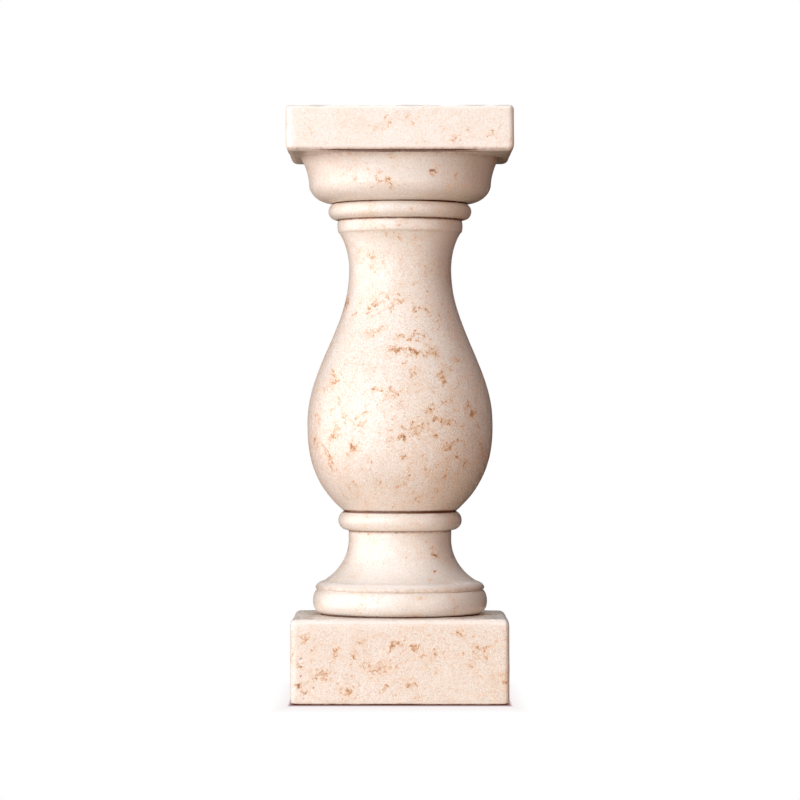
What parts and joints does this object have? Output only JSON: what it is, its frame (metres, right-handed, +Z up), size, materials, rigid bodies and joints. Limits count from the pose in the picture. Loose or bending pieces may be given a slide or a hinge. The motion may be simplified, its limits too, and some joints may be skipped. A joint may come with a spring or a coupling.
{
  "type": "stone baluster",
  "caption": "Turned vase baluster on a square plinth, with a square abacus on top, cut from cream limestone, to carry a handrail.",
  "frame": {"origin": "centre of the plinth's underside, where the baluster stands", "axes": "+Z up along the axis it was turned on, from the plinth to the abacus; +X and +Y square to the plinth's faces, with -Y towards the viewer of the picture"},
  "size_m": [0.232, 0.232, 0.61],
  "materials": {
    "limestone": "honed"
  },
  "bodies": {
    "root": {"baluster": "limestone"}
  },
  "joints": []
}
